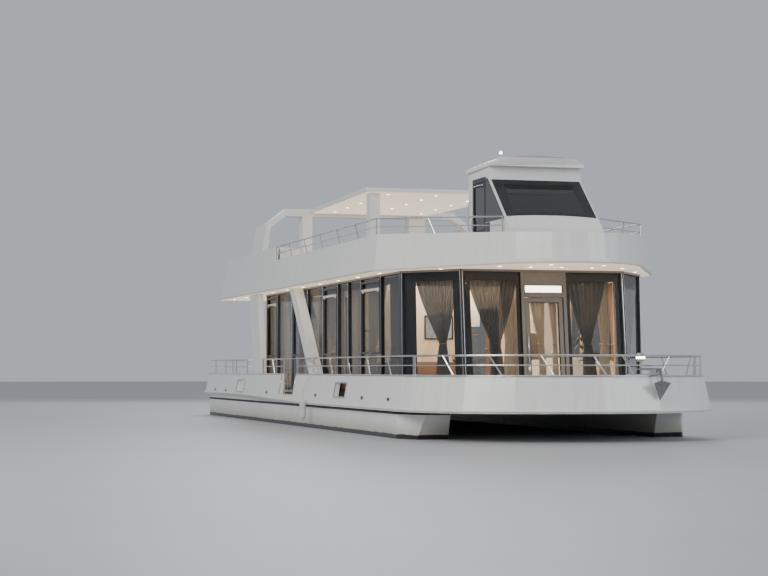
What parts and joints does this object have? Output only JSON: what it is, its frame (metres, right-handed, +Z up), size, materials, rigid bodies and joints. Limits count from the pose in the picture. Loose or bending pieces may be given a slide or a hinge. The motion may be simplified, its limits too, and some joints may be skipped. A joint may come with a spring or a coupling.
{
  "type": "two-deck houseboat on twin pontoons",
  "caption": "Houseboat with a glazed main cabin, open aft cockpit, upper sun deck with hardtop and portal, raised pilothouse, guard rails and twin pontoons.",
  "frame": {"origin": "on the centreline amidships, at the level of the flat pontoon bottoms", "axes": "+X to the bow, +Y to port, +Z up; the waterline is at Z = 0.9 m"},
  "size_m": [23.9401, 6.605, 6.6604],
  "materials": {
    "white_gelcoat": "glossy white paint",
    "bottom_paint": "white fender vinyl",
    "black_frame": "satin black window frame",
    "taupe_frame": "satin taupe frame",
    "stainless_steel": "polished stainless",
    "propeller_bronze": "cast bronze",
    "dark_iron": "galvanised and painted",
    "sofa_fabric": "woven",
    "table_wood": "oiled wood",
    "cream_panel": "matt cream panel",
    "fender_rope": "laid rope"
  },
  "bodies": {
    "boat": {"port_pontoon": "white_gelcoat", "starboard_pontoon": "white_gelcoat", "main_deck": "white_gelcoat", "upper_deck": "white_gelcoat", "port_engine": "dark_iron", "starboard_engine": "dark_iron", "port_aft_bollard": "stainless_steel", "starboard_aft_bollard": "stainless_steel", "port_fore_bollard": "stainless_steel", "starboard_fore_bollard": "stainless_steel", "port_cabin_wall": "black_frame", "port_bow_cabin_wall": "black_frame", "front_cabin_wall": "black_frame", "starboard_bow_cabin_wall": "black_frame", "starboard_cabin_wall": "black_frame", "aft_cabin_wall": "black_frame", "saloon_wall": "cream_panel", "galley_units": "white_gelcoat", "starboard_sofa": "sofa_fabric", "port_sofa": "sofa_fabric", "saloon_table": "table_wood", "port_raked_pillar": "white_gelcoat", "starboard_raked_pillar": "white_gelcoat", "port_aft_fin": "white_gelcoat", "starboard_aft_fin": "white_gelcoat", "aft_stairs": "white_gelcoat", "aft_portal": "white_gelcoat", "hardtop": "white_gelcoat", "port_deck_locker": "white_gelcoat", "starboard_deck_locker": "white_gelcoat", "pilothouse": "white_gelcoat", "pilothouse_roof": "white_gelcoat", "helm_console": "black_frame", "helm_seat": "sofa_fabric", "bow_rail": "stainless_steel", "starboard_rail": "stainless_steel", "port_rail": "stainless_steel", "stern_rail": "stainless_steel", "quarter_rail": "stainless_steel", "port_upper_rail": "stainless_steel", "starboard_upper_rail": "stainless_steel", "anchor_roller": "stainless_steel", "anchor": "dark_iron", "foredeck_lamp": "stainless_steel", "fender": "bottom_paint", "fender_rope": "fender_rope"},
    "front_door": {"front_door": "taupe_frame"},
    "aft_door": {"aft_door": "taupe_frame"},
    "boarding_gate": {"boarding_gate": "stainless_steel"},
    "pilothouse_door": {"pilothouse_door": "black_frame"},
    "port_rudder": {"port_rudder": "propeller_bronze"},
    "starboard_rudder": {"starboard_rudder": "propeller_bronze"},
    "port_propeller": {"port_propeller": "propeller_bronze"},
    "starboard_propeller": {"starboard_propeller": "propeller_bronze"},
    "helm_wheel": {"helm_wheel": "stainless_steel"}
  },
  "joints": [
    {"name": "front_door_swing", "type": "hinge", "parent": "boat", "child": "front_door", "pos_m": [8.8294, 0.3636, 2.7], "axis": [-0.1047, 0, 0.9945], "range_deg": [0, 95]},
    {"name": "aft_door_slide", "type": "slide", "parent": "boat", "child": "aft_door", "axis": [0, 1, 0], "range_m": [0, 0.95]},
    {"name": "boarding_gate_swing", "type": "hinge", "parent": "boat", "child": "boarding_gate", "pos_m": [-1.62, -3.02, 2], "axis": [0, 0, -1], "range_deg": [0, 90]},
    {"name": "pilothouse_door_swing", "type": "hinge", "parent": "boat", "child": "pilothouse_door", "pos_m": [8.008, -0.9725, 5.3], "axis": [0, 0, 1], "range_deg": [0, 95]},
    {"name": "starboard_rudder_turn", "type": "hinge", "parent": "boat", "child": "starboard_rudder", "pos_m": [-11.08, -2.64, 0.5], "axis": [0, 0, 1], "range_deg": [-35, 35]},
    {"name": "port_rudder_turn", "type": "hinge", "parent": "boat", "child": "port_rudder", "pos_m": [-11.08, 2.64, 0.5], "axis": [0, 0, 1], "range_deg": [-35, 35]},
    {"name": "starboard_propeller_spin", "type": "hinge", "parent": "boat", "child": "starboard_propeller", "pos_m": [-10.48, -2.64, 0.34], "axis": [1, 0, 0], "continuous": true},
    {"name": "port_propeller_spin", "type": "hinge", "parent": "boat", "child": "port_propeller", "pos_m": [-10.48, 2.64, 0.34], "axis": [1, 0, 0], "continuous": true},
    {"name": "helm_wheel_turn", "type": "hinge", "parent": "boat", "child": "helm_wheel", "pos_m": [8.5567, 0.35, 5.3254], "axis": [-0.6097, 0, 0.7926], "range_deg": [-540, 540]}
  ],
  "couplings": [
    {"joint": "port_rudder_turn", "follows": "starboard_rudder_turn", "ratio": 1},
    {"joint": "helm_wheel_turn", "follows": "starboard_rudder_turn", "ratio": -15.428}
  ]
}
